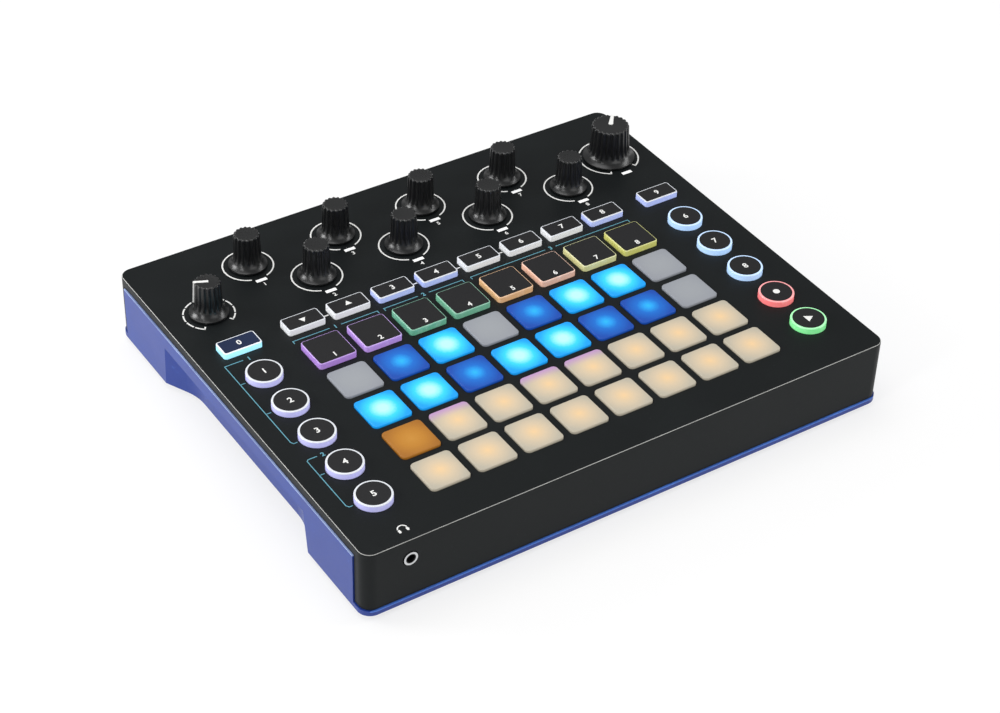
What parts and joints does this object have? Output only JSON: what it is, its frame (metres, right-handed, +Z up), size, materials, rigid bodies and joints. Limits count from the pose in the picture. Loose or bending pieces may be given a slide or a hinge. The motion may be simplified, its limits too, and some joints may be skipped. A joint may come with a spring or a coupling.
{
  "type": "drum machine",
  "caption": "Tabletop drum machine: a black control panel with knobs, lit pads and buttons on a blue tub, with sockets front and rear and a battery bay below.",
  "frame": {"origin": "middle of the footprint, on the table under the rubber feet", "axes": "+X to the player's right, +Y to the back, +Z up"},
  "size_m": [0.24, 0.1986, 0.049],
  "materials": {
    "panel_black": "fine satin grain",
    "tub_blue": "satin",
    "knob_black": "soft touch",
    "pad_silicone": "frosted translucent",
    "key_silicone": "frosted translucent",
    "foot_rubber": "matte",
    "board_green": "solder mask",
    "mat_silicone": "matte",
    "encoder_metal": "plated",
    "window_clear": "clear, lit white",
    "jack_chrome": "polished ring",
    "jack_black": "moulded",
    "usb_steel": "plated",
    "button_black": "moulded",
    "speaker_frame": "stamped frame",
    "contact_steel": "plated",
    "door_blue": "satin",
    "screw_steel": "zinc"
  },
  "bodies": {
    "root": {"top_cover": "panel_black", "bottom_case": "tub_blue", "rubber_feet": "foot_rubber", "control_board": "board_green", "keypad_mat": "mat_silicone", "main_board": "board_green", "encoders_and_pots": "encoder_metal", "light_guides": "window_clear", "headphone_socket": "jack_chrome", "line_out_sockets": "jack_black", "note_sockets": "jack_black", "usb_socket": "usb_steel", "power_socket": "jack_black", "speaker": "speaker_frame", "battery_contacts": "contact_steel", "screws": "screw_steel"},
    "pad_row_1": {"pad_row_1": "pad_silicone"},
    "pad_row_2": {"pad_row_2": "pad_silicone"},
    "pad_row_3": {"pad_row_3": "pad_silicone"},
    "pad_row_4": {"pad_row_4": "pad_silicone"},
    "track_button_1": {"track_button_1": "key_silicone"},
    "track_button_2": {"track_button_2": "key_silicone"},
    "track_button_3": {"track_button_3": "key_silicone"},
    "track_button_4": {"track_button_4": "key_silicone"},
    "track_button_5": {"track_button_5": "key_silicone"},
    "track_button_6": {"track_button_6": "key_silicone"},
    "track_button_7": {"track_button_7": "key_silicone"},
    "track_button_8": {"track_button_8": "key_silicone"},
    "option_button_1": {"option_button_1": "key_silicone"},
    "option_button_2": {"option_button_2": "key_silicone"},
    "option_button_3": {"option_button_3": "key_silicone"},
    "option_button_4": {"option_button_4": "key_silicone"},
    "option_button_5": {"option_button_5": "key_silicone"},
    "option_button_6": {"option_button_6": "key_silicone"},
    "option_button_7": {"option_button_7": "key_silicone"},
    "option_button_8": {"option_button_8": "key_silicone"},
    "left_option_button": {"left_option_button": "key_silicone"},
    "right_option_button": {"right_option_button": "key_silicone"},
    "left_round_button_1": {"left_round_button_1": "key_silicone"},
    "left_round_button_2": {"left_round_button_2": "key_silicone"},
    "left_round_button_3": {"left_round_button_3": "key_silicone"},
    "left_round_button_4": {"left_round_button_4": "key_silicone"},
    "left_round_button_5": {"left_round_button_5": "key_silicone"},
    "right_round_button_1": {"right_round_button_1": "key_silicone"},
    "right_round_button_2": {"right_round_button_2": "key_silicone"},
    "right_round_button_3": {"right_round_button_3": "key_silicone"},
    "right_round_button_4": {"right_round_button_4": "key_silicone"},
    "right_round_button_5": {"right_round_button_5": "key_silicone"},
    "power_button": {"power_button": "button_black"},
    "macro_knob_1": {"macro_knob_1": "knob_black"},
    "macro_knob_2": {"macro_knob_2": "knob_black"},
    "macro_knob_3": {"macro_knob_3": "knob_black"},
    "macro_knob_4": {"macro_knob_4": "knob_black"},
    "macro_knob_5": {"macro_knob_5": "knob_black"},
    "macro_knob_6": {"macro_knob_6": "knob_black"},
    "macro_knob_7": {"macro_knob_7": "knob_black"},
    "macro_knob_8": {"macro_knob_8": "knob_black"},
    "volume_knob": {"volume_knob": "knob_black"},
    "filter_knob": {"filter_knob": "knob_black"},
    "battery_door": {"battery_door": "door_blue"}
  },
  "joints": [
    {"name": "pad_row_1_press", "type": "slide", "parent": "root", "child": "pad_row_1", "axis": [0, 0, -1], "range_m": [0, 0.0008], "stiffness_N_per_m": 1600},
    {"name": "pad_row_2_press", "type": "slide", "parent": "root", "child": "pad_row_2", "axis": [0, 0, -1], "range_m": [0, 0.0008], "stiffness_N_per_m": 1600},
    {"name": "pad_row_3_press", "type": "slide", "parent": "root", "child": "pad_row_3", "axis": [0, 0, -1], "range_m": [0, 0.0008], "stiffness_N_per_m": 1600},
    {"name": "pad_row_4_press", "type": "slide", "parent": "root", "child": "pad_row_4", "axis": [0, 0, -1], "range_m": [0, 0.0008], "stiffness_N_per_m": 1600},
    {"name": "track_1_press", "type": "slide", "parent": "root", "child": "track_button_1", "axis": [0, 0, -1], "range_m": [0, 0.001], "stiffness_N_per_m": 500},
    {"name": "track_2_press", "type": "slide", "parent": "root", "child": "track_button_2", "axis": [0, 0, -1], "range_m": [0, 0.001], "stiffness_N_per_m": 500},
    {"name": "track_3_press", "type": "slide", "parent": "root", "child": "track_button_3", "axis": [0, 0, -1], "range_m": [0, 0.001], "stiffness_N_per_m": 500},
    {"name": "track_4_press", "type": "slide", "parent": "root", "child": "track_button_4", "axis": [0, 0, -1], "range_m": [0, 0.001], "stiffness_N_per_m": 500},
    {"name": "track_5_press", "type": "slide", "parent": "root", "child": "track_button_5", "axis": [0, 0, -1], "range_m": [0, 0.001], "stiffness_N_per_m": 500},
    {"name": "track_6_press", "type": "slide", "parent": "root", "child": "track_button_6", "axis": [0, 0, -1], "range_m": [0, 0.001], "stiffness_N_per_m": 500},
    {"name": "track_7_press", "type": "slide", "parent": "root", "child": "track_button_7", "axis": [0, 0, -1], "range_m": [0, 0.001], "stiffness_N_per_m": 500},
    {"name": "track_8_press", "type": "slide", "parent": "root", "child": "track_button_8", "axis": [0, 0, -1], "range_m": [0, 0.001], "stiffness_N_per_m": 500},
    {"name": "option_1_press", "type": "slide", "parent": "root", "child": "option_button_1", "axis": [0, 0, -1], "range_m": [0, 0.001], "stiffness_N_per_m": 500},
    {"name": "option_2_press", "type": "slide", "parent": "root", "child": "option_button_2", "axis": [0, 0, -1], "range_m": [0, 0.001], "stiffness_N_per_m": 500},
    {"name": "option_3_press", "type": "slide", "parent": "root", "child": "option_button_3", "axis": [0, 0, -1], "range_m": [0, 0.001], "stiffness_N_per_m": 500},
    {"name": "option_4_press", "type": "slide", "parent": "root", "child": "option_button_4", "axis": [0, 0, -1], "range_m": [0, 0.001], "stiffness_N_per_m": 500},
    {"name": "option_5_press", "type": "slide", "parent": "root", "child": "option_button_5", "axis": [0, 0, -1], "range_m": [0, 0.001], "stiffness_N_per_m": 500},
    {"name": "option_6_press", "type": "slide", "parent": "root", "child": "option_button_6", "axis": [0, 0, -1], "range_m": [0, 0.001], "stiffness_N_per_m": 500},
    {"name": "option_7_press", "type": "slide", "parent": "root", "child": "option_button_7", "axis": [0, 0, -1], "range_m": [0, 0.001], "stiffness_N_per_m": 500},
    {"name": "option_8_press", "type": "slide", "parent": "root", "child": "option_button_8", "axis": [0, 0, -1], "range_m": [0, 0.001], "stiffness_N_per_m": 500},
    {"name": "left_option_press", "type": "slide", "parent": "root", "child": "left_option_button", "axis": [0, 0, -1], "range_m": [0, 0.001], "stiffness_N_per_m": 500},
    {"name": "right_option_press", "type": "slide", "parent": "root", "child": "right_option_button", "axis": [0, 0, -1], "range_m": [0, 0.001], "stiffness_N_per_m": 500},
    {"name": "left_round_1_press", "type": "slide", "parent": "root", "child": "left_round_button_1", "axis": [0, 0, -1], "range_m": [0, 0.001], "stiffness_N_per_m": 500},
    {"name": "left_round_2_press", "type": "slide", "parent": "root", "child": "left_round_button_2", "axis": [0, 0, -1], "range_m": [0, 0.001], "stiffness_N_per_m": 500},
    {"name": "left_round_3_press", "type": "slide", "parent": "root", "child": "left_round_button_3", "axis": [0, 0, -1], "range_m": [0, 0.001], "stiffness_N_per_m": 500},
    {"name": "left_round_4_press", "type": "slide", "parent": "root", "child": "left_round_button_4", "axis": [0, 0, -1], "range_m": [0, 0.001], "stiffness_N_per_m": 500},
    {"name": "left_round_5_press", "type": "slide", "parent": "root", "child": "left_round_button_5", "axis": [0, 0, -1], "range_m": [0, 0.001], "stiffness_N_per_m": 500},
    {"name": "right_round_1_press", "type": "slide", "parent": "root", "child": "right_round_button_1", "axis": [0, 0, -1], "range_m": [0, 0.001], "stiffness_N_per_m": 500},
    {"name": "right_round_2_press", "type": "slide", "parent": "root", "child": "right_round_button_2", "axis": [0, 0, -1], "range_m": [0, 0.001], "stiffness_N_per_m": 500},
    {"name": "right_round_3_press", "type": "slide", "parent": "root", "child": "right_round_button_3", "axis": [0, 0, -1], "range_m": [0, 0.001], "stiffness_N_per_m": 500},
    {"name": "right_round_4_press", "type": "slide", "parent": "root", "child": "right_round_button_4", "axis": [0, 0, -1], "range_m": [0, 0.001], "stiffness_N_per_m": 500},
    {"name": "right_round_5_press", "type": "slide", "parent": "root", "child": "right_round_button_5", "axis": [0, 0, -1], "range_m": [0, 0.001], "stiffness_N_per_m": 500},
    {"name": "power_press", "type": "slide", "parent": "root", "child": "power_button", "axis": [0, -1, 0], "range_m": [0, 0.0015], "stiffness_N_per_m": 400},
    {"name": "macro_1_turn", "type": "hinge", "parent": "root", "child": "macro_knob_1", "pos_m": [-0.0721, 0.0758, 0.036], "axis": [0, 0, 1], "continuous": true},
    {"name": "macro_2_turn", "type": "hinge", "parent": "root", "child": "macro_knob_2", "pos_m": [-0.0515, 0.0552, 0.036], "axis": [0, 0, 1], "continuous": true},
    {"name": "macro_3_turn", "type": "hinge", "parent": "root", "child": "macro_knob_3", "pos_m": [-0.0309, 0.0758, 0.036], "axis": [0, 0, 1], "continuous": true},
    {"name": "macro_4_turn", "type": "hinge", "parent": "root", "child": "macro_knob_4", "pos_m": [-0.0103, 0.0552, 0.036], "axis": [0, 0, 1], "continuous": true},
    {"name": "macro_5_turn", "type": "hinge", "parent": "root", "child": "macro_knob_5", "pos_m": [0.0103, 0.0758, 0.036], "axis": [0, 0, 1], "continuous": true},
    {"name": "macro_6_turn", "type": "hinge", "parent": "root", "child": "macro_knob_6", "pos_m": [0.0309, 0.0552, 0.036], "axis": [0, 0, 1], "continuous": true},
    {"name": "macro_7_turn", "type": "hinge", "parent": "root", "child": "macro_knob_7", "pos_m": [0.0515, 0.0758, 0.036], "axis": [0, 0, 1], "continuous": true},
    {"name": "macro_8_turn", "type": "hinge", "parent": "root", "child": "macro_knob_8", "pos_m": [0.0721, 0.0552, 0.036], "axis": [0, 0, 1], "continuous": true},
    {"name": "volume_turn", "type": "hinge", "parent": "root", "child": "volume_knob", "pos_m": [-0.1005, 0.0552, 0.036], "axis": [0, 0, 1], "range_deg": [-212, 88]},
    {"name": "filter_turn", "type": "hinge", "parent": "root", "child": "filter_knob", "pos_m": [0.1005, 0.0655, 0.036], "axis": [0, 0, 1], "range_deg": [-109, 191]},
    {"name": "battery_door_swing", "type": "hinge", "parent": "root", "child": "battery_door", "pos_m": [0, 0.00285, 0.004], "axis": [1, 0, 0], "range_deg": [0, 80]}
  ]
}
